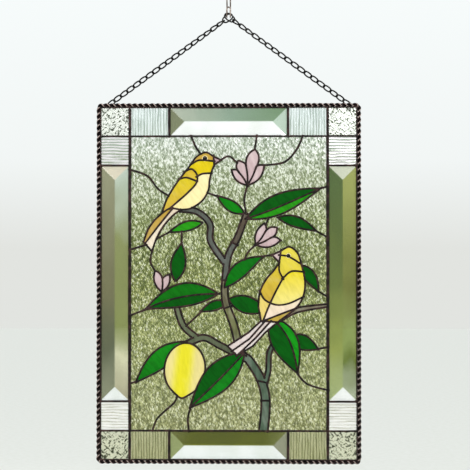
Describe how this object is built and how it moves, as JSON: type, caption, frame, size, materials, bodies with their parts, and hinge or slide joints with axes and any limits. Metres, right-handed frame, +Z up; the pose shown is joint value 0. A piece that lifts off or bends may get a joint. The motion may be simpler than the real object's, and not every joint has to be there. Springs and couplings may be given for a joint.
{
  "type": "leaded window hanging",
  "caption": "Upright leaded panel with two birds on a fruiting branch, a bevelled border and a twisted wire edge, hung on a chain and hook.",
  "frame": {"origin": "centre of the ring at the top of the hook, which a nail or a cup hook goes through", "axes": "+Z up along the hanging, -Y out of the panel's front, +X to the right as seen from the front"},
  "size_m": [0.254, 0.0115, 0.4592],
  "materials": {
    "ground": "clear, rippled",
    "ribbed": "clear, ribbed",
    "granite": "clear, grained",
    "bevel": "clear, polished",
    "bird": "tinted, streaky",
    "lemon": "tinted, streaky",
    "leaf_dark": "tinted, streaky",
    "leaf_bright": "tinted, streaky",
    "petal": "tinted, opalescent",
    "branch": "tinted, opalescent",
    "came": "dark patina",
    "chain": "blackened",
    "hook": "aged"
  },
  "bodies": {
    "root": {"bevel_bottom": "bevel", "bevel_left": "bevel", "bevel_right": "bevel", "bevel_top": "bevel", "bird_lower": "bird", "bird_upper": "bird", "blossom_left": "petal", "blossom_middle": "petal", "blossom_top": "petal", "branch": "branch", "branch_2": "branch", "branch_3": "branch", "branch_4": "branch", "branch_5": "branch", "came": "came", "chain_left": "chain", "chain_right": "chain", "corner_pane_bottom_left": "granite", "corner_pane_bottom_right": "granite", "corner_pane_top_left": "granite", "corner_pane_top_right": "granite", "edge_rope": "came", "ground_1": "ground", "ground_10": "ground", "ground_11": "ground", "ground_12": "ground", "ground_13": "ground", "ground_14": "ground", "ground_2": "ground", "ground_3": "ground", "ground_4": "ground", "ground_5": "ground", "ground_6": "ground", "ground_7": "ground", "ground_8": "ground", "ground_9": "ground", "hook": "hook", "leaf_behind_bird": "leaf_dark", "leaf_broad_left": "leaf_dark", "leaf_broad_right": "leaf_dark", "leaf_by_lemon": "leaf_dark", "leaf_centre_left": "leaf_dark", "leaf_centre_right": "leaf_dark", "leaf_low_centre": "leaf_dark", "leaf_low_right": "leaf_dark", "leaf_low_small": "leaf_dark", "leaf_middle": "leaf_dark", "leaf_right": "leaf_dark", "leaf_under_bird": "leaf_bright", "leaf_upper_middle": "leaf_dark", "leaf_upright": "leaf_dark", "lemon": "lemon", "ribbed_pane_bottom_left": "ribbed", "ribbed_pane_bottom_right": "ribbed", "ribbed_pane_top_left": "ribbed", "ribbed_pane_top_right": "ribbed", "ribbed_side_pane_bottom_left": "ribbed", "ribbed_side_pane_bottom_right": "ribbed", "ribbed_side_pane_top_left": "ribbed", "ribbed_side_pane_top_right": "ribbed"}
  },
  "joints": []
}
